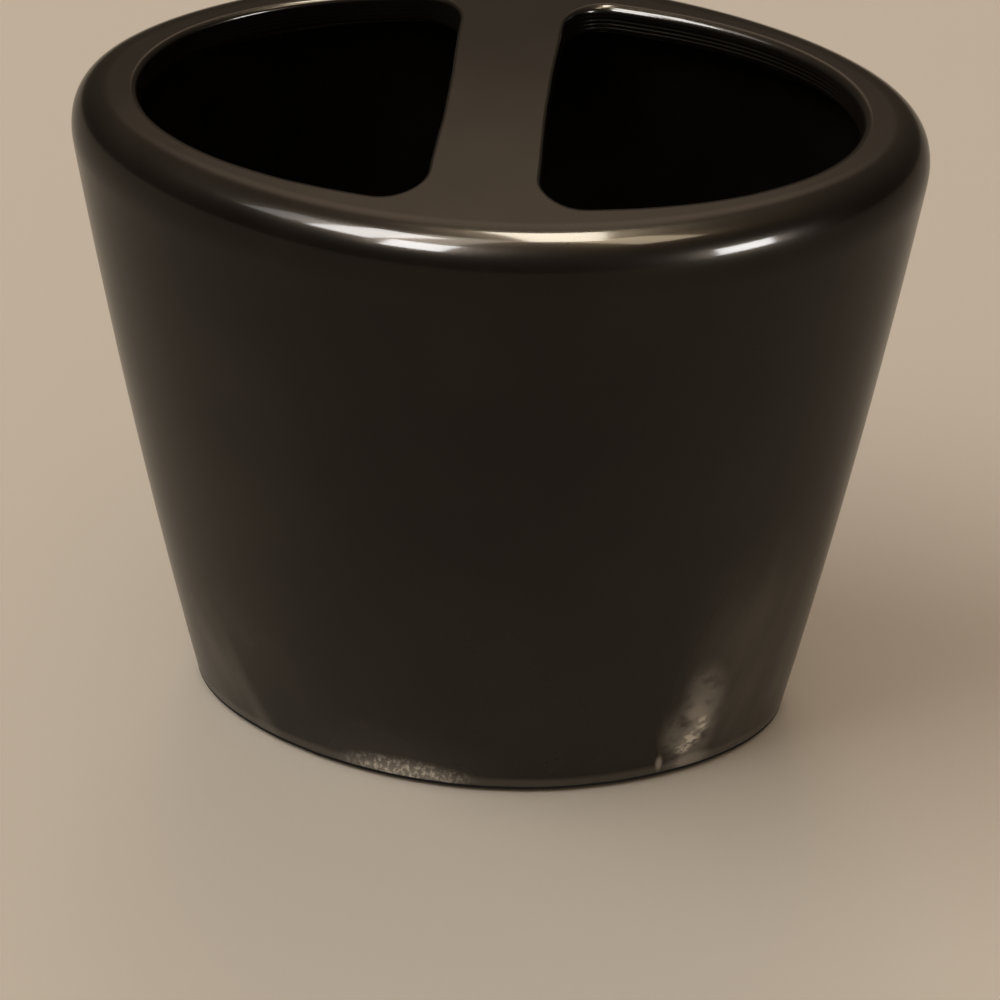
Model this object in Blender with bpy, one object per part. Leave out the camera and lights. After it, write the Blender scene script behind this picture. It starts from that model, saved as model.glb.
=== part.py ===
"""Oval ceramic brush holder with two D-shaped openings, standing on four stick-on pads.

Metres, +Z up. The origin is on the table under the middle of the holder, +X runs along its longer side and
-Y is its front.
"""

import math

import bmesh
import bpy

# Body, outside
SHOULDER_WIDTH = 0.115
SHOULDER_DEPTH = 0.071
BASE_WIDTH = 0.0920
BASE_DEPTH = 0.0500
HEIGHT = 0.106
WALL_BOW = 0.0008
SHOULDER_RISE = 0.0075
SHOULDER_REACH = 0.0056
FOOT_ROUND = 0.0010

# Body, inside
WALL = 0.0045
DECK = 0.0045
FLOOR = 0.0050
FLOOR_ROUND = 0.0060
CEILING_ROUND = 0.0030

# Openings in the deck
RIM_WIDTH = 0.0095
BRIDGE_WIDTH = 0.0144
BRIDGE_WAIST = 0.0003
CORNER_ROUND = 0.0058
LIP_ROUND = 0.0015
LOWER_LIP_ROUND = 0.0008
CUT_OVERRUN = 0.0020

# Underside and pads
FOOT_LIFT = 0.0005
FOOT_RING_WIDTH = 0.0050
RECESS_DEPTH = 0.0015
RECESS_DRAFT = 0.0006
PAD_DIAMETER = 0.0090
PAD_EDGE_ROUND = 0.0003
PAD_MARGIN = 0.0020
GLUE_GAP = 0.0003

# Shape of the ovals: how far they leave a true ellipse between its axes
BODY_FULLNESS_SHARE = -0.024
OPENING_FULLNESS_SHARE = 0.012

# Bevel profile of a plain round
ROUND_PROFILE_SHARE = 0.5

# Where the pads sit on their oval, measured from the X axis
PAD_ANGLE = math.radians(42)

# How finely round forms are divided
BODY_SIDES = 96
CAVITY_SIDES = 72
WALL_STEPS = 5
ROUND_STEPS = 6
FOOT_STEPS = 2
LIP_STEPS = 4
LOWER_LIP_STEPS = 2
OPENING_ARC_STEPS = 32
CORNER_STEPS = 6
BRIDGE_STEPS = 8
PAD_SIDES = 32
PAD_EDGE_STEPS = 2
ANGLE_HALVINGS = 50
SMOOTH_ANGLE = math.radians(35)

# Surfaces
GLAZE_COLOUR = (0.030, 0.023, 0.018, 1.0)
GLAZE_ROUGHNESS = 0.24
GLAZE_METALLIC = 0.35
RUBBER_COLOUR = (0.035, 0.034, 0.033, 1.0)
RUBBER_ROUGHNESS = 0.85
RUBBER_METALLIC = 0.0


def clear_scene():
    """Leave nothing in the scene but what this file makes."""
    for old in list(bpy.data.objects):
        bpy.data.objects.remove(old, do_unlink=True)


def make_material(name, colour, roughness, metallic):
    """Plain surface of one colour."""
    material = bpy.data.materials.new(name)
    material.use_nodes = True
    shader = material.node_tree.nodes["Principled BSDF"]
    shader.inputs["Base Color"].default_value = colour
    shader.inputs["Roughness"].default_value = roughness
    shader.inputs["Metallic"].default_value = metallic
    return material


def add_object(name, mesh, parent=None):
    """Put a mesh into the scene under a parent."""
    made = bpy.data.objects.new(name, mesh)
    bpy.context.scene.collection.objects.link(made)
    made.parent = parent
    return made


def oval_point(half_width, half_depth, fullness_share, angle):
    """Point of an ellipse that is let out, or drawn in, between its axes."""
    swell = 1 + fullness_share * math.sin(2 * angle) ** 2
    return (half_width * swell * math.cos(angle), half_depth * swell * math.sin(angle))


def oval_ring(half_width, half_depth, height, sides):
    """Ring of points round the body's oval at one height."""
    ring = []
    for step in range(sides):
        angle = 2 * math.pi * step / sides
        x, y = oval_point(half_width, half_depth, BODY_FULLNESS_SHARE, angle)
        ring.append((x, y, height))
    return ring


def finished_mesh(name, shape):
    """Mesh made from a finished shape, which is then let go."""
    mesh = bpy.data.meshes.new(name)
    shape.to_mesh(mesh)
    shape.free()
    return mesh


def loft(name, rings):
    """Closed solid skinned over rings of equal count, with flat caps on the first and the last ring.

    The rings run anticlockwise seen from above, and the first one is the lower cap.
    """
    shape = bmesh.new()
    loops = [[shape.verts.new(point) for point in ring] for ring in rings]
    for lower, upper in zip(loops, loops[1:]):
        for index in range(len(lower)):
            shape.faces.new((lower[index - 1], lower[index], upper[index], upper[index - 1]))
    shape.faces.new(reversed(loops[0]))
    shape.faces.new(loops[-1])
    return finished_mesh(name, shape)


def wall_half_sizes(height):
    """Half width and half depth of the outer wall at a height, with no rounding at the foot or shoulder.

    The wall leans out evenly from the foot to the shoulder and bows out a little half-way up.
    """
    shoulder_height = HEIGHT - SHOULDER_RISE
    climb = (height - FOOT_LIFT) / (shoulder_height - FOOT_LIFT)
    bow = 4 * WALL_BOW * climb * (1 - climb)
    half_width = (BASE_WIDTH + (SHOULDER_WIDTH - BASE_WIDTH) * climb) / 2 + bow
    half_depth = (BASE_DEPTH + (SHOULDER_DEPTH - BASE_DEPTH) * climb) / 2 + bow
    return half_width, half_depth


def wall_ring(height, inset, sides):
    """Ring round the wall at a height, drawn in by a distance."""
    half_width, half_depth = wall_half_sizes(height)
    return oval_ring(half_width - inset, half_depth - inset, height, sides)


def quarter_angles(steps):
    """Angles that divide a quarter turn, from 0 up."""
    return [math.pi / 2 * step / steps for step in range(steps + 1)]


def body_skin():
    """Outer skin: recess under the base, foot ring, leaning wall, shoulder and flat deck."""
    recess_top = FOOT_LIFT + RECESS_DEPTH
    base_half_width, base_half_depth = wall_half_sizes(FOOT_LIFT)
    recess_inset = FOOT_RING_WIDTH + RECESS_DRAFT
    rings = [
        oval_ring(base_half_width - recess_inset, base_half_depth - recess_inset, recess_top, BODY_SIDES),
        oval_ring(base_half_width - FOOT_RING_WIDTH, base_half_depth - FOOT_RING_WIDTH, FOOT_LIFT, BODY_SIDES),
    ]
    for angle in quarter_angles(FOOT_STEPS):
        inset = FOOT_ROUND * (1 - math.sin(angle))
        rings.append(wall_ring(FOOT_LIFT + FOOT_ROUND * (1 - math.cos(angle)), inset, BODY_SIDES))
    wall_foot = FOOT_LIFT + FOOT_ROUND
    wall_height = HEIGHT - SHOULDER_RISE - wall_foot
    for step in range(1, WALL_STEPS):
        rings.append(wall_ring(wall_foot + wall_height * step / WALL_STEPS, 0, BODY_SIDES))
    for angle in quarter_angles(ROUND_STEPS):
        inset = SHOULDER_REACH * (1 - math.cos(angle))
        rings.append(wall_ring(HEIGHT - SHOULDER_RISE * (1 - math.sin(angle)), inset, BODY_SIDES))
    return loft("ceramic_body", rings)


def cavity_core():
    """Solid of the hollow inside, one wall's thickness in from the outer skin."""
    floor_height = FOOT_LIFT + RECESS_DEPTH + FLOOR
    ceiling_height = HEIGHT - DECK
    rings = []
    for angle in quarter_angles(ROUND_STEPS):
        inset = WALL + FLOOR_ROUND * (1 - math.sin(angle))
        rings.append(wall_ring(floor_height + FLOOR_ROUND * (1 - math.cos(angle)), inset, CAVITY_SIDES))
    wall_foot = floor_height + FLOOR_ROUND
    wall_height = ceiling_height - CEILING_ROUND - wall_foot
    for step in range(1, WALL_STEPS):
        rings.append(wall_ring(wall_foot + wall_height * step / WALL_STEPS, WALL, CAVITY_SIDES))
    for angle in quarter_angles(LIP_STEPS):
        inset = WALL + CEILING_ROUND * (1 - math.cos(angle))
        rings.append(wall_ring(ceiling_height - CEILING_ROUND * (1 - math.sin(angle)), inset, CAVITY_SIDES))
    return loft("cavity_core", rings)


def opening_oval(angle):
    """Point on the oval that both openings follow, and the direction out of it."""
    half_width = SHOULDER_WIDTH / 2 - RIM_WIDTH
    half_depth = SHOULDER_DEPTH / 2 - RIM_WIDTH
    x, y = oval_point(half_width, half_depth, OPENING_FULLNESS_SHARE, angle)
    swell = 1 + OPENING_FULLNESS_SHARE * math.sin(2 * angle) ** 2
    swell_rate = 2 * OPENING_FULLNESS_SHARE * math.sin(4 * angle)
    along_x = half_width * (swell_rate * math.cos(angle) - swell * math.sin(angle))
    along_y = half_depth * (swell_rate * math.sin(angle) + swell * math.cos(angle))
    length = math.hypot(along_x, along_y)
    return (x, y), (along_y / length, -along_x / length)


def corner_centre(angle):
    """Centre of a corner's round that touches the oval at an angle."""
    (x, y), (out_x, out_y) = opening_oval(angle)
    return (x - CORNER_ROUND * out_x, y - CORNER_ROUND * out_y)


def corner_angle():
    """Angle on the oval where the corner's round, lying against the bridge, touches it."""
    low, high = 0, math.pi / 2
    for _ in range(ANGLE_HALVINGS):
        middle = (low + high) / 2
        if corner_centre(middle)[0] > BRIDGE_WIDTH / 2 + CORNER_ROUND:
            low = middle
        else:
            high = middle
    return low


def opening_outline():
    """Right-hand opening seen from above, anticlockwise: arc of the oval, corner, bridge side and corner.

    The bridge side is gently bowed, so the bridge is narrowest in its middle.
    """
    end = corner_angle()
    outline = []
    for step in range(OPENING_ARC_STEPS + 1):
        outline.append(opening_oval(end * (2 * step / OPENING_ARC_STEPS - 1))[0])
    centre_x, centre_y = corner_centre(end)
    out_x, out_y = opening_oval(end)[1]
    first = math.atan2(out_y, out_x)
    turns = [first + (math.pi - first) * step / CORNER_STEPS for step in range(1, CORNER_STEPS + 1)]
    corner = [(centre_x + CORNER_ROUND * math.cos(turn), centre_y + CORNER_ROUND * math.sin(turn))
              for turn in turns]
    outline += corner
    for step in range(1, BRIDGE_STEPS):
        travel = 1 - 2 * step / BRIDGE_STEPS
        waist = BRIDGE_WAIST * math.cos(math.pi / 2 * travel) ** 2
        outline.append((BRIDGE_WIDTH / 2 - waist, centre_y * travel))
    outline += [(x, -y) for x, y in reversed(corner)]
    return outline


def grown(outline, distance):
    """Outline with every side moved out by a distance."""
    sides = []
    for (x0, y0), (x1, y1) in zip(outline, outline[1:] + outline[:1]):
        length = math.hypot(x1 - x0, y1 - y0)
        sides.append(((y1 - y0) / length, (x0 - x1) / length))
    moved = []
    for (x, y), (ax, ay), (bx, by) in zip(outline, sides[-1:] + sides[:-1], sides):
        reach = distance / (1 + ax * bx + ay * by)
        moved.append((x + reach * (ax + bx), y + reach * (ay + by)))
    return moved


def flare(radius, steps):
    """Steps of a quarter round that widens a cutter: how far out, and how far short of the face it ends on.

    The last facet runs on past the face, so the cut meets it cleanly.
    """
    angles = quarter_angles(steps)
    points = [(radius * (1 - math.cos(angle)), radius * (1 - math.sin(angle))) for angle in angles]
    (out0, short0), (out1, short1) = points[-2:]
    return points[:-1] + [(2 * out1 - out0, 2 * short1 - short0)]


def opening_core(name):
    """Cutter for the right-hand opening, flared at the deck and, less, under it."""
    outline = opening_outline()
    underside = HEIGHT - DECK
    lower = [(out, underside + short) for out, short in flare(LOWER_LIP_ROUND, LOWER_LIP_STEPS)]
    upper = [(out, HEIGHT - short) for out, short in flare(LIP_ROUND, LIP_STEPS)]
    levels = [(lower[-1][0], lower[-1][1] - CUT_OVERRUN)]
    levels += list(reversed(lower)) + upper
    levels.append((upper[-1][0], upper[-1][1] + CUT_OVERRUN))
    rings = []
    for out, height in levels:
        rings.append([(x, y, height) for x, y in grown(outline, out)])
    return loft(name, rings)


def set_as_cutter(cutter):
    """Show a cutter as wires only and keep it out of the picture."""
    cutter.hide_render = True
    cutter.display_type = "WIRE"


def combine(target, operation, other):
    """Join another solid to a target, or take it away."""
    step = target.modifiers.new(other.name, "BOOLEAN")
    step.operation = operation
    step.solver = "EXACT"
    step.object = other


def shade_round(made, angle):
    """Smooth shading that keeps edges sharper than an angle."""
    made.data.shade_smooth()
    made.data.set_sharp_from_angle(angle=angle)


def make_body(parent, glaze):
    """One hollow ceramic piece: the skin less one core, which is the cavity with both openings on it."""
    body = add_object("ceramic_body", body_skin(), parent)
    body.data.materials.append(glaze)
    shade_round(body, SMOOTH_ANGLE)
    core = add_object("cavity_core", cavity_core(), parent)
    right = add_object("right_opening_core", opening_core("right_opening_core"), parent)
    left = add_object("left_opening_core", right.data, parent)
    left.rotation_euler.z = math.pi
    for cutter in (core, right, left):
        set_as_cutter(cutter)
    combine(core, "UNION", right)
    combine(core, "UNION", left)
    combine(body, "DIFFERENCE", core)


def pad_mesh(rubber):
    """Round stick-on pad with softened edges, its lower face at zero."""
    thickness = FOOT_LIFT + RECESS_DEPTH - GLUE_GAP
    radius = PAD_DIAMETER / 2
    shape = bmesh.new()
    bmesh.ops.create_cone(shape, cap_ends=True, segments=PAD_SIDES, radius1=radius, radius2=radius,
                          depth=thickness)
    bmesh.ops.translate(shape, verts=shape.verts, vec=(0, 0, thickness / 2))
    rims = [edge for edge in shape.edges if len({corner.co.z for corner in edge.verts}) == 1]
    bmesh.ops.bevel(shape, geom=rims, offset=PAD_EDGE_ROUND, segments=PAD_EDGE_STEPS,
                    profile=ROUND_PROFILE_SHARE, affect="EDGES")
    mesh = finished_mesh("foot_pad", shape)
    mesh.materials.append(rubber)
    return mesh


def make_pads(parent, rubber):
    """Four pads stuck into the recess, one towards each end of each long side."""
    base_half_width, base_half_depth = wall_half_sizes(FOOT_LIFT)
    keep_in = FOOT_RING_WIDTH + RECESS_DRAFT + PAD_MARGIN + PAD_DIAMETER / 2
    mesh = pad_mesh(rubber)
    for depth_name, depth_side in (("front", -1), ("rear", 1)):
        for width_name, width_side in (("left", -1), ("right", 1)):
            pad = add_object("foot_pad_" + depth_name + "_" + width_name, mesh, parent)
            pad.location.x = width_side * (base_half_width - keep_in) * math.cos(PAD_ANGLE)
            pad.location.y = depth_side * (base_half_depth - keep_in) * math.sin(PAD_ANGLE)
            shade_round(pad, SMOOTH_ANGLE)


def main():
    """Build the holder under one empty."""
    clear_scene()
    holder = add_object("brush_holder", None)
    glaze = make_material("dark_bronze_glaze", GLAZE_COLOUR, GLAZE_ROUGHNESS, GLAZE_METALLIC)
    rubber = make_material("black_rubber", RUBBER_COLOUR, RUBBER_ROUGHNESS, RUBBER_METALLIC)
    make_body(holder, glaze)
    make_pads(holder, rubber)


main()
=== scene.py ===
# %% [markdown]
# # A glazed brush holder
# The real holder is one hollow piece of slip-cast ceramic: an oval cup whose wall leans outwards, a flat
# deck with two D-shaped openings and a bridge between them, and a dark bronze-brown glaze over all of it.
# It stands on four rubber pads stuck into the recess of its base.
#
# The imported CAD model is loaded first. It fixes where everything is. The finer pieces made here follow
# the same shape, and the CAD pieces are kept, hidden.

import math

import bmesh
import bpy
import numpy as np
from mathutils import Matrix, Vector


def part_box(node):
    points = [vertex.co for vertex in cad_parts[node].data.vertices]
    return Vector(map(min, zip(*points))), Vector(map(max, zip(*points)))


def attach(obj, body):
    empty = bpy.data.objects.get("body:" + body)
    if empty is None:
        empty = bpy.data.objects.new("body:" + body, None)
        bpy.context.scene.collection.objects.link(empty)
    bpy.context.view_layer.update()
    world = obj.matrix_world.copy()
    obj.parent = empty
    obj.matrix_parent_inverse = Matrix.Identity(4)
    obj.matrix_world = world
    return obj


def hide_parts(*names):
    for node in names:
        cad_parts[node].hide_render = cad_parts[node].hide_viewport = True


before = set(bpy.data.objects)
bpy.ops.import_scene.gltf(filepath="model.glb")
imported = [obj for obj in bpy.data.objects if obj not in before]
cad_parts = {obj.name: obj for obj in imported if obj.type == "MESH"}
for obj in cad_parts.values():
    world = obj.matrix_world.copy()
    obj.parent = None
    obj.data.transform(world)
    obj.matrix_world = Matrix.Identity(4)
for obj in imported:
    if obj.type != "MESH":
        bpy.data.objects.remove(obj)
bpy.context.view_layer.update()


def in_mm(length):
    """A length in millimetres, rounded, for the printed lines."""
    return round(1000 * float(length), 2)


# %% [markdown]
# ## Main sizes
# Everything is in metres. The main sizes could be typed in once more, but then they could drift away from
# the CAD model. So the width, the depth, the height and the gap under the foot are read from the box
# round the CAD body. What a box can't tell, such as how thick the wall is, is named in the step that
# first needs it.

# %% Main sizes
body_low, body_high = (np.array(corner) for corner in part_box("ceramic_body"))
SHOULDER_WIDTH, SHOULDER_DEPTH = (body_high - body_low)[:2]
HEIGHT = body_high[2]
FOOT_LIFT = body_low[2]
print("height in mm:", in_mm(HEIGHT), "foot above the floor:", in_mm(FOOT_LIFT))

# %% [markdown]
# ## The ovals
# Seen from above, the holder is an oval: an ellipse that is drawn in a little between its axes. Its wall
# leans outwards and is bowed by less than a millimetre. A cylinder, scaled and tapered, would give a
# plain ellipse and straight sides, and both would have to be bent afterwards.
#
# Here every ring round the body is the oval at some height, so a sheet of the skin is one function of two
# parameters: the angle round the body, and the place along a profile. A profile is a list of half widths,
# half depths and heights.

# %% Rings round the body
BASE_WIDTH = 0.0920
BASE_DEPTH = 0.0500
WALL_BOW = 0.0008
SHOULDER_RISE = 0.0075  # how far below the top the wall's line ends, at full width
BODY_FULLNESS = -0.024  # how much fuller than an ellipse the oval is between its axes
AROUND = 320
turn = np.linspace(0, 2 * np.pi, AROUND + 1)


def wall_halves(height):
    """Half width and half depth of the wall at a height: a straight line from foot to shoulder, plus the bow
    times 4 s (1 - s), a parabola in the share s of the way up."""
    climb = (height - FOOT_LIFT) / (HEIGHT - SHOULDER_RISE - FOOT_LIFT)
    bow = 4 * WALL_BOW * climb * (1 - climb)
    half_width = (BASE_WIDTH + (SHOULDER_WIDTH - BASE_WIDTH) * climb) / 2 + bow
    half_depth = (BASE_DEPTH + (SHOULDER_DEPTH - BASE_DEPTH) * climb) / 2 + bow
    return half_width, half_depth


def rings(line_height, inset, height):
    """Rows of a profile: the wall's half sizes at a height on its line, less an inset, carried to another
    height."""
    half_width, half_depth = wall_halves(line_height)
    return np.stack(np.broadcast_arrays(half_width - inset, half_depth - inset, height), -1)


def swept(profile):
    """Grid of points: each row of the profile as an oval, x = a cos t, y = b sin t, both times the swell
    1 + fullness sin^2 2t."""
    swell = 1 + BODY_FULLNESS * np.sin(2 * turn) ** 2
    x = np.outer(profile[:, 0], swell * np.cos(turn))
    y = np.outer(profile[:, 1], swell * np.sin(turn))
    return np.stack([x, y, np.repeat(profile[:, 2:], len(turn), axis=1)], -1)


print("foot in mm:", [in_mm(2 * half) for half in wall_halves(FOOT_LIFT)])

# %% [markdown]
# ## The base
# From the middle outwards the base has the roof of its shallow recess, the recess's leaning wall, the
# flat foot ring that the glaze was wiped off, and a small round at the foot. Extruding the bottom face in
# and up would give the same steps, but the profile keeps each of them tied to its own size.

# %% Profile of the base
FOOT_RING_WIDTH = 0.0050
RECESS_DEPTH = 0.0015
RECESS_DRAFT = 0.0006
FOOT_ROUND = 0.0004
FLAT_ROWS = 9
DRAFT_ROWS = 5
FOOT_STEPS = 8


def quarter(steps):
    """Angles over a quarter turn."""
    return np.linspace(0, np.pi / 2, steps + 1)


recess_top = FOOT_LIFT + RECESS_DEPTH
recess_edge = np.array(wall_halves(FOOT_LIFT)) - FOOT_RING_WIDTH - RECESS_DRAFT
spread = np.linspace(0, 1, FLAT_ROWS)[:, None]
recess = np.hstack([spread * recess_edge, np.full((FLAT_ROWS, 1), recess_top)])
draft = np.linspace(0, 1, DRAFT_ROWS)[1:-1]
recess_wall = rings(FOOT_LIFT, FOOT_RING_WIDTH + RECESS_DRAFT * (1 - draft),
                    recess_top - RECESS_DEPTH * draft)
share = np.linspace(0, 1, FLAT_ROWS)[:-1]
foot_ring = rings(FOOT_LIFT, FOOT_RING_WIDTH + (FOOT_ROUND - FOOT_RING_WIDTH) * share, FOOT_LIFT)
bend = quarter(FOOT_STEPS)
foot_height = FOOT_LIFT + FOOT_ROUND * (1 - np.cos(bend))
foot = rings(foot_height, FOOT_ROUND * (1 - np.sin(bend)), foot_height)
print("recess in mm:", [in_mm(2 * half) for half in recess_edge], "and", in_mm(RECESS_DEPTH), "deep")

# %% [markdown]
# ## Wall and shoulder
# The wall runs up into a soft shoulder. A Bevel modifier would round the shoulder with a circle, and a
# glossy glaze shows where a circle starts: the highlight breaks there. So the shoulder is a quarter of a
# rounded oval, higher than it is wide, whose power is a little above an ellipse's two. Its curve starts
# and ends gently, and it draws in from the wall's own line.

# %% Profile of the outside
SOFT_RISE = 0.0083
SOFT_REACH = 0.0061
SOFT_POWER = 2.25
WALL_ROWS = 81
SHOULDER_STEPS = 32
wall_height = np.linspace(FOOT_LIFT + FOOT_ROUND, HEIGHT - SOFT_RISE, WALL_ROWS)[1:-1]
wall = rings(wall_height, 0, wall_height)
bend = quarter(SHOULDER_STEPS)
shoulder_height = HEIGHT - SOFT_RISE * (1 - np.sin(bend) ** (2 / SOFT_POWER))
shoulder_inset = SOFT_REACH * (1 - np.abs(np.cos(bend)) ** (2 / SOFT_POWER))
shoulder = rings(shoulder_height, shoulder_inset, shoulder_height)
outside = swept(np.vstack([recess, recess_wall, foot_ring, foot, wall, shoulder]))
print("outside:", outside.shape[0], "rings of", AROUND)

# %% [markdown]
# ## The inside of the body
# The cast wall has one thickness, because the plaster mould draws the same layer of clay onto itself
# everywhere. A Solidify modifier would thicken the deck's lips as well, so the cavity is a profile of its
# own: the outside drawn in by the wall's thickness, with a wide round at the floor and a small one under
# the deck.

# %% Profile of the cavity
WALL = 0.0045
DECK = 0.0045
FLOOR = 0.0050
FLOOR_ROUND = 0.0060
CEILING_ROUND = 0.0030
CEILING_STEPS = 10
INNER_ROWS = 20
FLOOR_STEPS = 12
CUP_ROWS = 10
floor_top = recess_top + FLOOR
ceiling = HEIGHT - DECK
bend = quarter(CEILING_STEPS)
ceiling_height = ceiling - CEILING_ROUND * (1 - np.cos(bend))
under_deck = rings(ceiling_height, WALL + CEILING_ROUND * (1 - np.sin(bend)), ceiling_height)
inner_height = np.linspace(ceiling - CEILING_ROUND, floor_top + FLOOR_ROUND, INNER_ROWS)[1:-1]
inner_wall = rings(inner_height, WALL, inner_height)
bend = quarter(FLOOR_STEPS)
round_height = floor_top + FLOOR_ROUND * (1 - np.sin(bend))
floor_round = rings(round_height, WALL + FLOOR_ROUND * (1 - np.cos(bend)), round_height)
spread = np.linspace(1, 0, CUP_ROWS)[1:, None]
cup_floor = np.hstack([spread * floor_round[-1:, :2], np.full((CUP_ROWS - 1, 1), floor_top)])
inside = swept(np.vstack([under_deck, inner_wall, floor_round, cup_floor]))
print("inside:", inside.shape[0], "rings of", AROUND)

# %% [markdown]
# ## The outline of an opening
# Each opening is a D: an arc of an oval concentric with the body, two rounded corners, and a side along
# the bridge that is bowed by a third of a millimetre. A Boolean cut with a D-shaped cutter would leave
# long thin faces round the hole, and the glaze would mirror every one of them. So the outline is worked
# out first, and the deck is built round it.
#
# The circle of a corner touches both the oval and the bridge's line. The angle at which it does is looked
# up among many candidates.

# %% Outline of the right-hand opening
RIM_WIDTH = 0.0095
BRIDGE_WIDTH = 0.0144
BRIDGE_WAIST = 0.0003
CORNER_ROUND = 0.0058
OPENING_FULLNESS = 0.012
CANDIDATES = 20001
CORNER_POINTS = 201
SIDE_POINTS = 401
ARC_POINTS = 1601


def opening_oval(angle):
    """The oval that the openings follow, x = a cos t, y = b sin t, both times 1 + fullness sin^2 2t, and its
    outward direction: the tangent turned back by a quarter."""
    half_width, half_depth = SHOULDER_WIDTH / 2 - RIM_WIDTH, SHOULDER_DEPTH / 2 - RIM_WIDTH
    swell = 1 + OPENING_FULLNESS * np.sin(2 * angle) ** 2
    rate = 2 * OPENING_FULLNESS * np.sin(4 * angle)
    place = np.stack([half_width * swell * np.cos(angle), half_depth * swell * np.sin(angle)], -1)
    out = np.stack([half_depth * (rate * np.sin(angle) + swell * np.cos(angle)),
                    -half_width * (rate * np.cos(angle) - swell * np.sin(angle))], -1)
    return place, out / np.linalg.norm(out, axis=-1, keepdims=True)


candidates = np.linspace(0, np.pi / 2, CANDIDATES)
place, out = opening_oval(candidates)
short = BRIDGE_WIDTH / 2 + CORNER_ROUND - (place[:, 0] - CORNER_ROUND * out[:, 0])
end = np.interp(0, short, candidates)
place, out = opening_oval(np.array([end]))
corner_x, corner_y = (place - CORNER_ROUND * out)[0]
sweep = np.linspace(math.atan2(out[0, 1], out[0, 0]), np.pi, CORNER_POINTS)
corner = np.stack([corner_x + CORNER_ROUND * np.cos(sweep), corner_y + CORNER_ROUND * np.sin(sweep)], -1)
travel = np.linspace(1, -1, SIDE_POINTS)
waist = BRIDGE_WAIST * np.cos(np.pi / 2 * travel) ** 2
side = np.stack([BRIDGE_WIDTH / 2 - waist, corner_y * travel], -1)
arc = opening_oval(np.linspace(-end, end, ARC_POINTS))[0]
print("opening in mm:", in_mm(np.ptp(np.vstack([arc, corner])[:, 0])), "by", in_mm(np.ptp(arc[:, 1])))

# %% [markdown]
# ## Loops round an opening
# One sheet will make everything round an opening: the deck from the shoulder inwards, the lip, the cut
# through the deck, the small round under it, and the deck's underside as far as the cavity's wall.
# Filling the deck as one flat face and cutting it up would be quicker, but its faces would meet the lip
# at every angle.
#
# The sheet's loops all have the same number of points instead. Half of them follow the body's oval. The
# rest follow the middle line of the bridge, where the left-hand sheet, this one turned by half a turn,
# carries on. So the faces run along the lip, as its highlight does.

# %% Loops of the right-hand sheet
HALF = AROUND // 2
ACROSS = 96


def along(points, share):
    """Points at shares of the way along a line of points, by length."""
    length = np.concatenate([[0], np.cumsum(np.linalg.norm(np.diff(points, axis=0), axis=1))])
    return np.stack([np.interp(share * length[-1], length, points[:, axis]) for axis in (0, 1)], -1)


def half_loop(ring):
    """Right half of a ring of the body, from front to back, and the middle line from back to front."""
    right = np.vstack([ring[-HALF // 2 - 1:-1], ring[:HALF // 2 + 1]])
    line = np.linspace(right[-1], right[0], ACROSS + 1)
    line[:, 0] = 0
    return np.vstack([right[:-1], line[:-1]])


middle = len(corner) // 2
lower_corner = corner[::-1] * (1, -1)
oval_part = np.vstack([lower_corner[middle:], arc, corner[:middle + 1]])
bridge_part = np.vstack([corner[middle:], side, lower_corner[:middle + 1]])
outline = np.vstack([along(oval_part, np.linspace(0, 1, HALF + 1))[:-1],
                     along(bridge_part, np.linspace(0, 1, ACROSS + 1))[:-1]])
step = np.roll(outline, -1, axis=0) - np.roll(outline, 1, axis=0)
outward = np.stack([step[:, 1], -step[:, 0]], -1) / np.linalg.norm(step, axis=1, keepdims=True)
print("points round an opening:", len(outline))

# %% [markdown]
# ## Edges made by hand
# The edges of the openings were cut while the clay was soft and smoothed with a wet sponge, so they
# wander by about a tenth of a millimetre. Noise would do, but it doesn't close on itself. A sum of a few
# sine waves round the loop does, and seeded phases give each opening its own wander.

# %% Wandering edges
EDGE_WANDER = 0.00008
WANDER_COUNTS = np.array([2, 3, 5, 8, 13, 21, 34])
WANDER_HEIGHTS = EDGE_WANDER / WANDER_COUNTS ** 0.8
draw = np.random.default_rng(7)


def wander():
    """Distance that an opening's edge strays by, round its loop: sine waves, each with a whole number of
    turns and a random phase, whose height falls with that number."""
    share = np.linspace(0, 1, HALF + ACROSS, endpoint=False)
    phase = draw.uniform(0, 2 * np.pi, len(WANDER_COUNTS))
    return (np.sin(2 * np.pi * np.outer(share, WANDER_COUNTS) + phase) * WANDER_HEIGHTS).sum(1)


print("an edge wanders by less than", in_mm(WANDER_HEIGHTS.sum()), "mm")

# %% [markdown]
# ## Deck, lip and throat
# The sponge rounded the lips unequally: hardly at all along the bridge, a little at the back left, and
# most at the front and the back right, where the photograph shows a broad highlight. The knife left a few
# fine rings low in the cut, clearest in the right-hand opening. A Bevel modifier gives one width to a
# whole edge. Here the width is a list with a value for every point of the loop, and so are the rings.

# %% Throat sheets
LIP_BRIDGE = 0.0006
LIP_FRONT = 0.0013
LIP_BACK_RIGHT = 0.0013
LIP_BACK_LEFT = 0.0008
LOWER_LIP_ROUND = 0.0008
RING_DEPTH_RIGHT = 0.00013
RING_DEPTH_LEFT = 0.00003
RING_SPACE = 0.0006
RING_BAND = 3 * RING_SPACE
RING_FULL_SHARE = 0.6  # share of a band over which the rings keep their depth, before they fade
DECK_ROWS = 15
LIP_STEPS = 12
CUT_ROWS = 22
LOWER_LIP_STEPS = 6
UNDERSIDE_ROWS = 8


def smooth(share):
    """3 s^2 - 2 s^3, held at 0 below 0 and at 1 above 1."""
    share = np.clip(share, 0, 1)
    return share * share * (3 - 2 * share)


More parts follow.
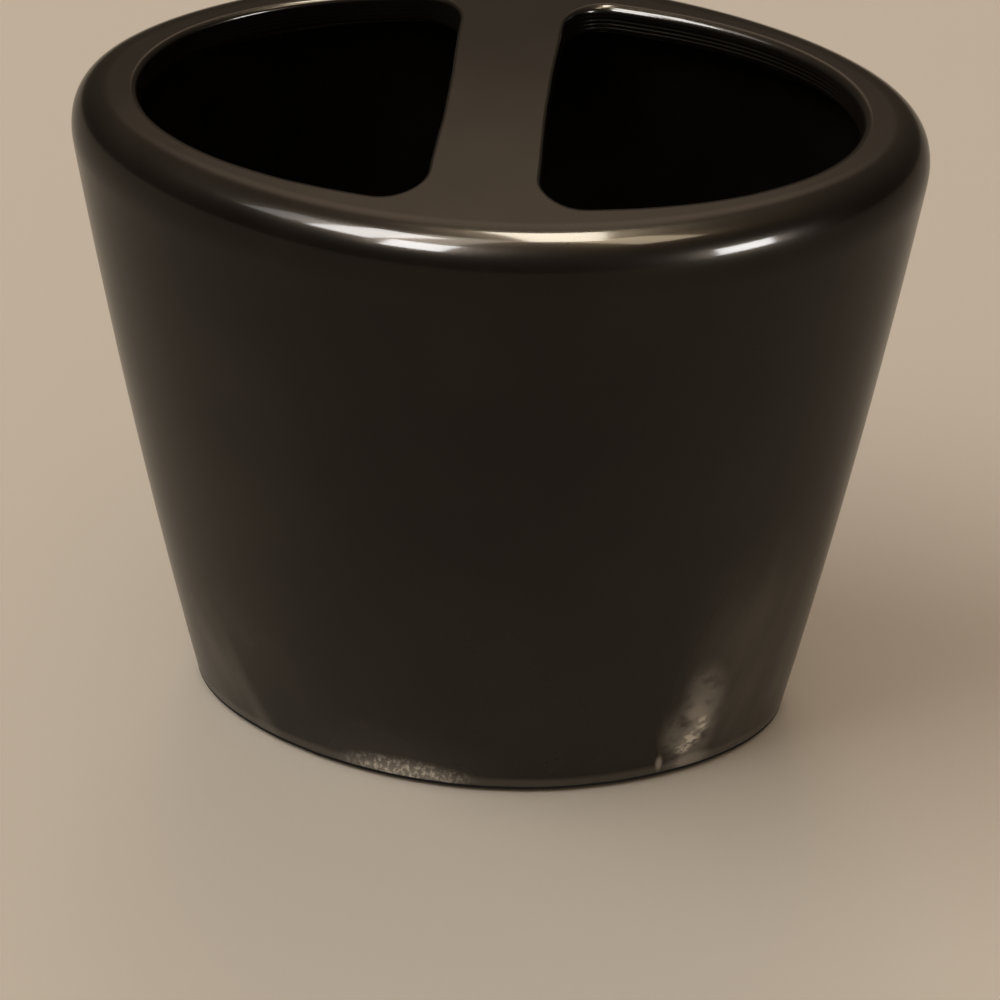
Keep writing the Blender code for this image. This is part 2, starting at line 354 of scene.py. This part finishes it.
def throat(side, lip_back, ring_depth):
    """Grid from the shoulder inwards, through the opening and out under the deck to the cavity's ceiling, on
    the right (side 1) or half a turn round (side -1). Its rows are loops that go straight across the deck,
    over the lip in a quarter circle, straight down the cut, round the lower lip in a quarter circle and
    straight out under the deck."""
    stray = wander()
    backward = smooth(0.5 + side * outline[:, 1] / (SHOULDER_DEPTH - 2 * RIM_WIDTH))
    aside = smooth((outline[:, 0] - BRIDGE_WIDTH / 2) / CORNER_ROUND)
    lip = LIP_BRIDGE + aside * (LIP_FRONT + (lip_back - LIP_FRONT) * backward - LIP_BRIDGE)
    cut_foot = ceiling + LOWER_LIP_ROUND

    def loop(distance, height):
        """The opening's outline, grown by a distance, at a height."""
        moved = outline + outward * (distance + stray)[:, None]
        return np.column_stack([moved, np.broadcast_to(height, len(moved))])

    def knife_rings(height):
        """Depth times (1 - cos) / 2, a wave down the cut that fades out upwards and is strongest at the
        back."""
        low = smooth(1 + RING_FULL_SHARE - (height - cut_foot) / RING_BAND)
        wave = (1 - np.cos(2 * np.pi * (height - cut_foot) / RING_SPACE)) / 2
        return -ring_depth * backward * aside * low * wave

    deck_loop = half_loop(outside[-1])
    ceiling_loop = half_loop(inside[0])
    lip_edge = loop(lip, HEIGHT)
    flat = np.linalg.norm(lip_edge - deck_loop, axis=1)
    print("narrowest flat between shoulder and lip in mm:", in_mm(flat.min()))
    rows = [deck_loop + share * (lip_edge - deck_loop) for share in smooth(np.linspace(0, 1, DECK_ROWS))]
    rows += [loop(lip * (1 - math.sin(bend)), HEIGHT - lip * (1 - math.cos(bend)))
             for bend in quarter(LIP_STEPS)[1:]]
    for share in np.linspace(0, 1, CUT_ROWS)[1:-1]:
        height = (HEIGHT - lip) * (1 - share) + cut_foot * share
        rows.append(loop(knife_rings(height), height))
    rows += [loop(LOWER_LIP_ROUND * (1 - math.cos(bend)), ceiling + LOWER_LIP_ROUND * (1 - math.sin(bend)))
             for bend in quarter(LOWER_LIP_STEPS)]
    rows += [rows[-1] + share * (ceiling_loop - rows[-1]) for share in np.linspace(0, 1, UNDERSIDE_ROWS)[1:]]
    grid = np.stack(rows)
    return np.concatenate([grid, grid[:, :1]], axis=1) * (side, side, 1)


right_throat = throat(1, LIP_BACK_RIGHT, RING_DEPTH_RIGHT)
left_throat = throat(-1, LIP_BACK_LEFT, RING_DEPTH_LEFT)
print("rows of a throat sheet:", len(right_throat))

# %% [markdown]
# ## One closed skin
# The sheets share the points along their borders. Put into one mesh, with the doubles merged, they are
# one closed skin, as the real piece is. A remesh would close it too, but it would blunt the lips and lose
# the rings.
#
# A deck of soft clay sags a little towards its rim, and the reflections on the real deck show it: they
# brighten from the back of the bridge to its front. So every sheet is crowned by a few tenths of a
# millimetre before it goes into the mesh.

# %% Sheets into a piece
CROWN = 0.0004
CROWN_DEPTH = 0.030
MERGE = 0.000002


def sheet_faces(grid, first):
    """Corner numbers of the four-sided faces between neighbouring rows and columns of a grid."""
    rows, columns = grid.shape[:2]
    index = first + np.arange(rows * columns).reshape(rows, columns)
    return np.stack([index[:-1, :-1], index[:-1, 1:], index[1:, 1:], index[1:, :-1]], -1).reshape(-1, 4)


def skin(name, sheets):
    """Piece made of sheets whose borders meet, closed by merging the points that fall together."""
    first = np.cumsum([0] + [grid.shape[0] * grid.shape[1] for grid in sheets])
    points = np.concatenate([grid.reshape(-1, 3) for grid in sheets])
    faces = np.concatenate([sheet_faces(grid, start) for grid, start in zip(sheets, first)])
    mesh = bpy.data.meshes.new(name)
    mesh.from_pydata(points.tolist(), [], faces.tolist())
    shape = bmesh.new()
    shape.from_mesh(mesh)
    bmesh.ops.remove_doubles(shape, verts=shape.verts, dist=MERGE)
    open_edges = sum(edge.is_boundary or not edge.is_manifold for edge in shape.edges)
    shape.to_mesh(mesh)
    shape.free()
    mesh.shade_smooth()
    piece = bpy.data.objects.new(name, mesh)
    bpy.context.scene.collection.objects.link(piece)
    print(name, "has", len(mesh.polygons), "faces and", open_edges, "open edges")
    return piece


def crowned(grid):
    """Grid lowered by the crown times (x/a)^2 + (y/b)^2, fading out over the wall's upper part."""
    reach = (2 * grid[..., 0] / SHOULDER_WIDTH) ** 2 + (2 * grid[..., 1] / SHOULDER_DEPTH) ** 2
    share = np.clip((grid[..., 2] - ceiling + CROWN_DEPTH) / CROWN_DEPTH, 0, 1)
    return np.stack([grid[..., 0], grid[..., 1], grid[..., 2] - CROWN * reach * share], -1)


body = skin("glazed_body", [crowned(grid) for grid in (outside, right_throat, left_throat, inside)])

# %% [markdown]
# ## Uneven glaze
# A glaze is a runny layer of glass, and it dries unevenly: a few hundredths of a millimetre more here and
# less there. On a glossy piece that shows as a slight tremble in the highlights. A bump in the material
# would shade it without moving anything. Here each point moves inwards along its normal by an even depth
# plus a sum of long, weak waves, and low on the wall, where the glaze ran together, by small lumps as
# well.

# %% Uneven thickness of the glaze
EVEN_DEPTH = 0.00008
LUMPS_FULL = 0.004
LUMPS_FADE = 0.018
# length, height and number of the waves
LUMPS = 0.0065, 0.00003, 16
LONG_WAVES = 0.060, 0.00003, 9
SHORT_WAVES = 0.018, 0.00001, 12


def waves(points, length, height, count):
    """Sum of sine waves in random directions, between -height and height nearly everywhere."""
    direction = draw.normal(size=(count, 3))
    direction /= np.linalg.norm(direction, axis=1, keepdims=True)
    phase = draw.uniform(0, 2 * np.pi, count)
    size = length * draw.uniform(0.6, 1.6, count)
    return height * np.sin(2 * np.pi * (points @ direction.T) / size + phase).mean(1) * 2


def sink(piece, depths):
    """Move every point of a piece inwards, against its normal, by its own depth."""
    mesh = piece.data
    points, normals = np.empty((2, len(mesh.vertices), 3))
    mesh.vertices.foreach_get("co", points.ravel())
    mesh.vertex_normals.foreach_get("vector", normals.ravel())
    depth = np.clip(depths(points), 0, None)
    mesh.vertices.foreach_set("co", (points - normals * depth[:, None]).ravel())
    mesh.update()
    print(piece.name, "sank by", in_mm(depth.min()), "to", in_mm(depth.max()), "mm")


def glaze_depths(points):
    """How far the surface lies under its ideal shape: the even depth, two sizes of wave, and the lumps times
    a mask that is 1 near the foot and falls to 0 above it."""
    low = smooth(1 - (points[:, 2] - LUMPS_FULL) / LUMPS_FADE)
    lumps = low * waves(points, *LUMPS)
    return EVEN_DEPTH + waves(points, *LONG_WAVES) + waves(points, *SHORT_WAVES) + lumps


sink(body, glaze_depths)
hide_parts("ceramic_body")
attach(body, "root")

# %% [markdown]
# ## The pads
# Each pad is a small disc of rubber, punched from a sheet: flat faces and a softened rim. A cylinder with
# a Bevel modifier would look the same. The profile is as short, and it fits the pad to the CAD pad's box
# by itself: it runs from the middle of the lower face to the middle of the upper one, and is turned about
# the middle of that box.

# %% Four rubber pads
PAD_EDGE = 0.0003
PAD_SIDES = 72
PAD_ROWS = 8
PAD_STEPS = 6
pad_turn = np.linspace(0, 2 * np.pi, PAD_SIDES + 1)


def pad_sheet(low, high):
    """Disc that fills a box: x = r cos t and y = r sin t about the box's middle, where radius and height run
    along a flat, a quarter circle, another quarter circle and a flat."""
    radius = (high[0] - low[0]) / 2
    bend = quarter(PAD_STEPS)
    reach = np.concatenate([np.linspace(0, radius - PAD_EDGE, PAD_ROWS)[:-1],
                            radius - PAD_EDGE * (1 - np.sin(bend)), radius - PAD_EDGE * (1 - np.cos(bend)),
                            np.linspace(radius - PAD_EDGE, 0, PAD_ROWS)[1:]])
    height = np.concatenate([np.full(PAD_ROWS - 1, low[2]), low[2] + PAD_EDGE * (1 - np.cos(bend)),
                             high[2] - PAD_EDGE * (1 - np.sin(bend)), np.full(PAD_ROWS - 1, high[2])])
    centre = (np.array(low) + np.array(high)) / 2
    return np.stack([centre[0] + np.outer(reach, np.cos(pad_turn)),
                     centre[1] + np.outer(reach, np.sin(pad_turn)),
                     np.repeat(height[:, None], len(pad_turn), axis=1)], -1)


pads = []
for where in ("front_left", "front_right", "rear_left", "rear_right"):
    pad = skin("rubber_pad_" + where, [pad_sheet(*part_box("foot_pad_" + where))])
    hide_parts("foot_pad_" + where)
    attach(pad, "root")
    pads.append(pad)

# %% [markdown]
# ## Shader sums
# A material is a graph of nodes. Written node by node it is long and hard to follow, so one small class
# wraps a socket and lets it take part in Python sums. Every operator adds a Math node, and one method
# adds every other kind of node.


# %% A socket that can be added and multiplied
class Wire:
    """A socket of a material's graph that takes part in sums."""

    def __init__(self, tree, socket=None):
        self.tree = tree
        self.socket = socket

    def node(self, kind, settings, values, output=0):
        """Add a node of a kind, with its settings and its sockets' values or wires, and give its output."""
        made = self.tree.nodes.new(kind)
        for name, value in settings.items():
            setattr(made, name, value)
        connect(made, values)
        return Wire(self.tree, made.outputs[output])

    def maths(self, operation, first, second):
        """Math node on two numbers or wires."""
        return self.node("ShaderNodeMath", {"operation": operation}, {0: first, 1: second})

    def __add__(self, other):
        return self.maths("ADD", self, other)

    def __radd__(self, other):
        return self.maths("ADD", other, self)

    def __sub__(self, other):
        return self.maths("SUBTRACT", self, other)

    def __rsub__(self, other):
        return self.maths("SUBTRACT", other, self)

    def __mul__(self, other):
        return self.maths("MULTIPLY", self, other)

    def __rmul__(self, other):
        return self.maths("MULTIPLY", other, self)

    def ramp(self, low, high):
        """0 below one value, 1 above another, and a smooth climb between them."""
        return self.node("ShaderNodeMapRange", {"interpolation_type": "SMOOTHSTEP"},
                         {"Value": self, "From Min": low, "From Max": high})

    def colours(self, first, second):
        """Colour between two colours, by this share."""
        return self.node("ShaderNodeMix", {"data_type": "RGBA"}, {0: self, 6: first, 7: second}, 2)


def connect(node, values):
    """Set the sockets of a node, or link them where the value is a wire."""
    for name, value in values.items():
        if isinstance(value, Wire):
            value.tree.links.new(value.socket, node.inputs[name])
        else:
            node.inputs[name].default_value = value


# %% [markdown]
# ## The glaze
# The glaze is nearly black, and a little browner in cloudy patches where it lies thin. Further down the
# wall it is painted browner and lighter as well: a painted reflection of the floor close by. Every pattern
# is read at the place on the piece, in metres. An unwrapped layout of the surface would be the other way,
# but it needs seams, and a cast body has none.

# %% Glaze tone, and a painted reflection low on the wall
GLAZE_DARK = (0.0040, 0.0032, 0.0027, 1)
GLAZE_BROWN = (0.0200, 0.0160, 0.0125, 1)
CLOUD_SIZE = 0.020
# heights below and above which the painted reflection low on the wall is full and gone
BROWN_BELOW, DARK_ABOVE = 0.005, 0.075


def new_finish(name):
    """Fresh material, the place on the piece as a wire, and the material's shader."""
    material = bpy.data.materials.new(name)
    material.use_nodes = True
    place = Wire(material.node_tree).node("ShaderNodeTexCoord", {}, {}, "Object")
    return material, place, material.node_tree.nodes["Principled BSDF"]


def noise(place, size, detail=3, roughness=0.5):
    """Cloudy noise, about 0.5 in the mean, whose lumps are about as large as a size in metres."""
    return place.node("ShaderNodeTexNoise", {}, {"Vector": place, "Scale": 1 / size, "Detail": detail,
                                                 "Roughness": roughness})


def height_of(place):
    """Height of a place, its third part."""
    return place.node("ShaderNodeSeparateXYZ", {}, {0: place}, "Z")


glaze, place, shader = new_finish("dark_bronze_glaze")
above = height_of(place) - float(FOOT_LIFT)
cloud = noise(place, CLOUD_SIZE, 4)
# The cloudy patches are the glaze's own tone; the climb towards the foot is a painted reflection of the
# floor.
cloud_and_low_sheen = 0.35 * cloud.ramp(0.3, 0.8) + 0.50 * (1 - above.ramp(BROWN_BELOW, DARK_ABOVE))
glaze_colour = cloud_and_low_sheen.colours(GLAZE_DARK, GLAZE_BROWN)
print("glaze colour:", len(glaze.node_tree.nodes), "nodes")

# %% [markdown]
# ## Painted reflections at both ends
# At both ends of the oval the lower wall has leaning, silvery streaks, and low at the front lies a paler
# haze. Both are painted reflections of the floor in an uneven glaze. They could be painted into an image,
# but an image goes soft up close. Each is a mask instead: an egg-shaped region that fades out, and noise
# that is leaned and drawn out, so that its lumps become streaks.

# %% Masks of the streaks
LEFT_END = (-0.036, -0.014, 0.007), (0.016, 0.016, 0.028)
RIGHT_END = (0.041, -0.013, 0.016), (0.018, 0.016, 0.042)
HALO = (-0.012, -0.024, 0.003), (0.022, 0.010, 0.013)
LEFT_LEAN, RIGHT_LEAN = -0.38, 0.30


def distance(place, centre, reach):
    """Distance from the middle of an egg-shaped region: the length of (place - centre) / reach."""
    away = place.node("ShaderNodeVectorMath", {"operation": "SUBTRACT"}, {0: place, 1: centre})
    away = away.node("ShaderNodeVectorMath", {"operation": "DIVIDE"}, {0: away, 1: reach})
    return away.node("ShaderNodeVectorMath", {"operation": "LENGTH"}, {0: away}, "Value")


def spot(place, centre, reach):
    """1 in the middle of an egg-shaped region, falling to 0 at its reach."""
    return 1 - distance(place, centre, reach).ramp(0.2, 1.0)


def stretched(place, length, lean):
    """The place turned back by a lean about the Y axis and divided by a length upwards. Noise on it makes
    streaks that lean, and are that many times as long as wide."""
    return place.node("ShaderNodeMapping", {"vector_type": "TEXTURE"},
                      {"Vector": place, "Rotation": (0, lean, 0), "Scale": (1, 1, length)})


# Masks of painted reflections: silvery streaks at both ends, and a pale glow low at the front.
left_end, right_end, halo = (spot(place, *region) for region in (LEFT_END, RIGHT_END, HALO))
streaks = noise(stretched(place, 5, LEFT_LEAN), 0.007, 1).ramp(0.38, 0.78)
bands = noise(stretched(place, 6, RIGHT_LEAN), 0.006, 2).ramp(0.35, 0.75)
print("with the streaks:", len(glaze.node_tree.nodes), "nodes")

# %% [markdown]
# ## Painted glow and glints low on the wall
# Low at the front on the right lies a pale patch with a few bright spots, and a row of pale flecks lies
# along the foot on the left: a painted reflection of lit floor, and painted glints. One round region would
# look like a stamp. So the patch is a sum of three, one over the other, and finer noise breaks up the bright
# spots and the flecks.

# %% Masks of the painted glow and glints
# strength, centre and reach of each region
PATCH = [
    (1.0, (0.0315, -0.0180, 0.0095), (0.0056, 0.0060, 0.0095)),
    (0.7, (0.0335, -0.0180, 0.0170), (0.0042, 0.0060, 0.0100)),
    (1.0, (0.0320, -0.0170, 0.0024), (0.0046, 0.0060, 0.0024)),
]
PAINTED_GLINT_SPOTS = [
    (1.0, (0.0321, -0.0181, 0.0078), (0.0020, 0.0040, 0.0022)),
    (0.9, (0.0310, -0.0183, 0.0058), (0.0016, 0.0040, 0.0015)),
    (0.8, (0.0337, -0.0175, 0.0106), (0.0014, 0.0040, 0.0026)),
]
STROKE = (0.0276, -0.0195, 0.0036), (0.0007, 0.0040, 0.0024)
FLECK_ROW = (-0.0105, -0.0245, 0.0022), (0.0125, 0.0060, 0.0040)
GLINT_BREAKUP_LEAN, GRAIN_LEAN = -0.5, 0.2


def spots(place, regions):
    """Sum of several regions, each times its strength."""
    return sum(strength * spot(place, centre, reach) for strength, centre, reach in regions)


# Painted light: a pale glow patch, bright glints in it, and glints along the foot on the left.
painted_glow_patch = spots(place, PATCH) * noise(place, 0.003, 2).ramp(0.10, 0.60)
glint_breakup = noise(stretched(place, 0.7, GLINT_BREAKUP_LEAN), 0.0011, 2).ramp(0.42, 0.58)
spot_glints = spots(place, PAINTED_GLINT_SPOTS) * (0.12 + glint_breakup) + 0.6 * spot(place, *STROKE)
grains = noise(stretched(place, 1.8, GRAIN_LEAN), 0.0007, 2, 0.6).ramp(0.44, 0.66)
fleck_glints = spot(place, *FLECK_ROW) * (0.26 + 0.66 * grains)
print("with the scuffs:", len(glaze.node_tree.nodes), "nodes")

# %% [markdown]
# ## The foot
# Just above the foot a pale strip is painted: a painted reflection of the floor on the foot's round. The
# glaze was wiped off the foot itself, so that the last millimetre is bare clay, painted near black as the
# shade of the gap under it; with the gap it makes a thin black line.
# Both are masks of the height. A second material on the lowest faces would end along their edges, and a
# wiped edge wanders. The pale strip keeps to the outside of the wall and leaves the recess dark.

# %% Masks of the foot
PALE_FULL, PALE_GONE = 0.0018, 0.0032
BARE_FULL, BARE_GONE = 0.00088, 0.00102
WIPE_WANDER = 0.0002
# The pale strip is a painted reflection; the bare band is painted shade of the gap under the foot.
on_wall = distance(place, (0, 0, 0), (BASE_WIDTH / 2, BASE_DEPTH / 2, 1)).ramp(0.90, 0.96)
foot_edge = (1 - above.ramp(PALE_FULL, PALE_GONE)) * (0.4 + cloud) * on_wall
bare = 1 - (above + WIPE_WANDER * noise(place, 0.004)).ramp(BARE_FULL, BARE_GONE)
print("bare clay up to", in_mm(BARE_GONE), "mm and a pale strip up to", in_mm(PALE_GONE), "mm above the foot")

# %% [markdown]
# ## Satin gloss over clay
# The glaze is satin: a sharp reflection of the lamps lies in a softer glow. One Principled shader gives
# that with two layers. The base reflects roughly and holds the bronze tint of a metallic glaze, and the
# clear coat over it is smooth. A metal would be the other way, but then the wall would mirror the pale
# floor as strongly as the lamps. Where a reflection is painted it turns grey, and where a glint is painted
# nearly white, and both make it rougher. Only ripples far finer than the mesh are left to the bump.
#
# The bare clay is matte and painted near black, as the shade of the gap under the foot. The glossy shader
# would mirror the floor there and lose the dark line, so a second, plain shader is mixed in.

# %% Dark bronze glaze
# Colours of the painted light: grey for painted reflections, near white for painted glints, near black for
# painted shade.
PAINTED_SHEEN_COLOUR = (0.110, 0.102, 0.092, 1)
PAINTED_GLINT_COLOUR = (0.80, 0.77, 0.71, 1)
SHADED_BARE_CLAY = (0.0030, 0.0024, 0.0020, 1)
# Masks of painted reflections, of painted glints, and of both, which also roughen the glaze.
painted_sheen = 0.80 * left_end * streaks + right_end * (0.28 + 0.50 * bands) + 0.18 * halo + 0.75 * foot_edge
painted_glints = 0.32 * painted_glow_patch + 0.75 * spot_glints + fleck_glints
painted_light = painted_sheen + painted_glints
ripple = noise(place, 0.004, 2) * 0.4 + noise(place, 0.0008, 2) * 0.1 + painted_light * noise(place, 0.0007, 3)
connect(shader, {
    "Base Color": painted_glints.colours(painted_sheen.colours(glaze_colour, PAINTED_SHEEN_COLOUR), PAINTED_GLINT_COLOUR),
    "Roughness": 0.22 + 0.07 * cloud + 0.20 * painted_light,
    "IOR": 1.20,
    "Specular Tint": (1.0, 0.84, 0.66, 1),
    "Coat Weight": 0.25,
    "Coat Roughness": 0.08,
    "Normal": place.node("ShaderNodeBump", {}, {"Strength": 0.08, "Distance": 0.0004, "Height": ripple}),
})
glossy = Wire(glaze.node_tree, shader.outputs["BSDF"])
# Near black matte shader for the foot: painted shade of the gap under it.
clay = place.node("ShaderNodeBsdfPrincipled", {}, {"Base Color": SHADED_BARE_CLAY, "Roughness": 0.9,
                                                  "Specular IOR Level": 0.1})
both = bare.node("ShaderNodeMixShader", {}, {0: bare, 1: glossy, 2: clay})
connect(glaze.node_tree.nodes["Material Output"], {"Surface": both})
body.data.materials.append(glaze)
print("whole glaze:", len(glaze.node_tree.nodes), "nodes")

# %% [markdown]
# ## The rubber
# The pads are plain black rubber, matte, with a fine grain. Three separate textures could make its
# colour, its roughness and its bumps, but on the real rubber one grain causes all of them. So one cloudy
# noise does here.

# %% Black rubber
RUBBER_DARK = (0.026, 0.025, 0.024, 1)
RUBBER_PALE = (0.044, 0.043, 0.042, 1)
rubber, place, shader = new_finish("black_rubber")
grain = noise(place, 0.0004, 2)
connect(shader, {
    "Base Color": grain.colours(RUBBER_DARK, RUBBER_PALE),
    "Roughness": 0.80 + 0.10 * grain,
    "Normal": place.node("ShaderNodeBump", {}, {"Strength": 0.3, "Distance": 0.0001, "Height": grain}),
})
for pad in pads:
    pad.data.materials.append(rubber)
print("rubber:", len(rubber.node_tree.nodes), "nodes")

# %% [markdown]
# ## The floor
# The stage is a plain pale floor, matte and without any gloss, that reaches so far that its edge is out
# of sight. A cove with a curved back would be the usual choice in a studio, but this camera looks down
# and sees only the floor.

# %% Floor
FLOOR_HALF = 30.0
FLOOR_COLOUR = (0.50, 0.455, 0.40, 1)
corners = [(-FLOOR_HALF, -FLOOR_HALF, 0), (FLOOR_HALF, -FLOOR_HALF, 0), (FLOOR_HALF, FLOOR_HALF, 0),
           (-FLOOR_HALF, FLOOR_HALF, 0)]
floor_mesh = bpy.data.meshes.new("floor")
floor_mesh.from_pydata(corners, [], [(0, 1, 2, 3)])
floor = bpy.data.objects.new("floor", floor_mesh)
bpy.context.scene.collection.objects.link(floor)
pale, place, shader = new_finish("pale_floor")
connect(shader, {"Base Color": FLOOR_COLOUR, "Roughness": 0.8, "Specular IOR Level": 0})
floor.data.materials.append(pale)
print("floor:", 2 * FLOOR_HALF, "m wide")

# %% [markdown]
# ## The room
# A dark glossy piece looks like what it mirrors. The deck lies level, and from the camera it mirrors the
# part of the room behind the holder and above it. In the photograph the deck is warm and brightens
# towards its front, so that part of the room has a soft glow. The rest is a warm, even light that grows
# towards the ceiling. A picture wrapped round the scene could do this too, but a few sums on the
# direction are enough, and each of them can be changed by itself.

# %% Room light
BLACK = (0, 0, 0, 1)
ROOM_WARM = (1.0, 0.775, 0.565, 1)
ROOM_STRENGTH = 3
GLOW = (-0.06, 0.67, 0.74), (0.36, 0.50, 0.34)
world = bpy.data.worlds.new("room")
world.use_nodes = True
bpy.context.scene.world = world
direction = Wire(world.node_tree).node("ShaderNodeTexCoord", {}, {}, "Generated")
climb = height_of(direction)
level = 0.043 + 0.033 * climb.ramp(0.10, 0.45) + 0.107 * climb.ramp(0.35, 1.00)
level = level + 0.68 * spot(direction, *GLOW)
connect(world.node_tree.nodes["Background"], {"Color": level.colours(BLACK, ROOM_WARM),
                                              "Strength": ROOM_STRENGTH})
print("room:", len(world.node_tree.nodes), "nodes")

# %% [markdown]
# ## The lamps
# A glossy piece shows a lamp twice: as the light that falls on it, and as the lamp's mirror image. Here
# the mirror images matter most. They are the three long highlights on the shoulder, and where the line of
# sight is mirrored at each of them, it leads back to its lamp.
#
# One set of lamps for both would be simpler, but then every small bright lamp would throw a hard shadow.
# So two large soft ones are seen by matte surfaces alone: they light the floor and give the holder its
# shadow. The glints are seen by gloss alone. The weak ones beside a strong one let its highlight fade
# out.


# %% Lamps
def lamp(name, azimuth, elevation, size, radiance, colour, far=1.0):
    """Flat lamp that faces the deck from a distance. Azimuth counts from the back, clockwise, and both angles
    are in degrees. The size is what the lamp would measure a metre away. Its power is pi times its radiance
    and its area, so that it looks equally bright at any distance."""
    light = bpy.data.lights.new(name, "AREA")
    light.shape = "RECTANGLE"
    light.size, light.size_y = far * size[0], far * size[1]
    light.energy = radiance * math.pi * light.size * light.size_y
    light.color = colour
    made = bpy.data.objects.new(name, light)
    turned, raised = math.radians(azimuth), math.radians(elevation)
    away = Vector((math.sin(turned) * math.cos(raised), math.cos(turned) * math.cos(raised),
                   math.sin(raised)))
    made.location = Vector((0, 0, float(HEIGHT))) + far * away
    made.rotation_euler = away.to_track_quat("Z", "Y").to_euler()
    bpy.context.scene.collection.objects.link(made)
    return made


SOFT_WHITE = (0.98, 0.97, 0.92)
COOL = (0.97, 0.98, 1.0)
CREAM = (1.0, 0.92, 0.76)
GOLD = (1.0, 0.84, 0.60)
SOFT_LAMPS = [
    ("soft_lamp_left", -105, 55, (0.60, 0.60), 4.9, SOFT_WHITE, 3.0),
    ("soft_lamp_above", 30, 82, (1.20, 1.20), 0.65, SOFT_WHITE, 3.0),
]
GLINTS = [
    ("glint_left_upper", -143, 56, (0.20, 0.52), 50, COOL),
    ("glint_left_edge", -125, 50, (0.18, 0.34), 7, COOL),
    ("glint_left_lower", -162, 41, (0.20, 0.32), 64, COOL),
    ("glint_between", -160, 64, (0.20, 0.46), 13, CREAM),
    ("glint_middle", 78, 86, (0.56, 0.17), 64, CREAM),
    ("glint_middle_edge", 136, 63, (0.20, 0.40), 20, GOLD),
    ("glint_right", 131, 7.5, (0.21, 0.21), 64, COOL),
]
for row in SOFT_LAMPS:
    lamp(*row).visible_glossy = False
for row in GLINTS:
    lamp(*row).visible_diffuse = False
print("lamps:", len(SOFT_LAMPS), "soft ones and", len(GLINTS), "glints")

# %% [markdown]
# ## The camera
# The camera stands where the photograph was taken from. Its place, direction and focal length were fitted
# to the outline of the holder and of its openings. A constraint that points it at the holder would lose
# its slight roll, so its three axes are worked out from yaw, pitch and roll, and set as a matrix.

# %% Camera
CAMERA_PLACE = (0.026644, -0.30496, 0.289859)
CAMERA_YAW, CAMERA_PITCH, CAMERA_ROLL = -0.083, 0.692, 0.02
FOCAL_SHARE = 2.67435
forward = Vector((math.sin(CAMERA_YAW) * math.cos(CAMERA_PITCH),
                  math.cos(CAMERA_YAW) * math.cos(CAMERA_PITCH), -math.sin(CAMERA_PITCH)))
sideways = Vector((math.cos(CAMERA_YAW), -math.sin(CAMERA_YAW), 0))
upright = sideways.cross(forward)
right = sideways * math.cos(CAMERA_ROLL) + upright * math.sin(CAMERA_ROLL)
up = upright * math.cos(CAMERA_ROLL) - sideways * math.sin(CAMERA_ROLL)
axes = Matrix((right, up, -forward)).transposed().to_4x4()
eye = bpy.data.cameras.new("photo_camera")
eye.lens = FOCAL_SHARE * eye.sensor_width
camera = bpy.data.objects.new("photo_camera", eye)
camera.matrix_world = Matrix.Translation(CAMERA_PLACE) @ axes
bpy.context.scene.collection.objects.link(camera)
bpy.context.scene.camera = camera
bpy.context.scene.view_settings.view_transform = "Standard"
print("camera:", round(eye.lens, 1), "mm lens")
